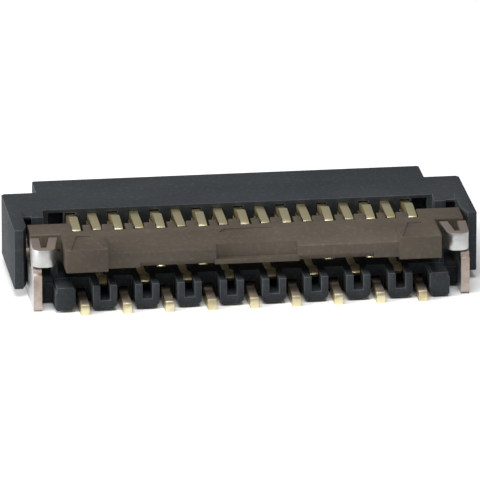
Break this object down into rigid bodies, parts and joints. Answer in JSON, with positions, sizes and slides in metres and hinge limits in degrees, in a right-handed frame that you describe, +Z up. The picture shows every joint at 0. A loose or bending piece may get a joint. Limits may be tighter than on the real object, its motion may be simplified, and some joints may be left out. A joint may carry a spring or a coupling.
{
  "type": "fpc connector",
  "caption": "Low-profile surface-mount connector for a flat flexible cable, with staggered sprung contacts, folded hold-down fittings and a flip lock over its front mouth.",
  "frame": {"origin": "on the board, under the middle of the part's bounding box", "axes": "+X along the row of contacts, +Y from the cable mouth to the rear, +Z up from the board"},
  "size_m": [0.0066, 0.0032, 0.001],
  "materials": {
    "housing_resin": "matte moulded black",
    "lock_resin": "matte moulded brown-grey",
    "contact_metal": "pale gold flash over stamped sheet",
    "fitting_metal": "satin tin plate, coppery on the cut edges"
  },
  "bodies": {
    "connector_body": {"housing": "housing_resin", "contact_front_1": "contact_metal", "contact_front_2": "contact_metal", "contact_front_3": "contact_metal", "contact_front_4": "contact_metal", "contact_front_5": "contact_metal", "contact_front_6": "contact_metal", "contact_front_7": "contact_metal", "contact_front_8": "contact_metal", "contact_front_9": "contact_metal", "contact_rear_1": "contact_metal", "contact_rear_2": "contact_metal", "contact_rear_3": "contact_metal", "contact_rear_4": "contact_metal", "contact_rear_5": "contact_metal", "contact_rear_6": "contact_metal", "contact_rear_7": "contact_metal", "contact_rear_8": "contact_metal", "fitting_left": "fitting_metal", "fitting_right": "fitting_metal"},
    "flip_lock": {"actuator": "lock_resin"}
  },
  "joints": [
    {"name": "lock_pivot", "type": "hinge", "parent": "connector_body", "child": "flip_lock", "pos_m": [0, -0.00052, 0.0008], "axis": [-1, 0, 0], "range_deg": [0, 110]}
  ]
}
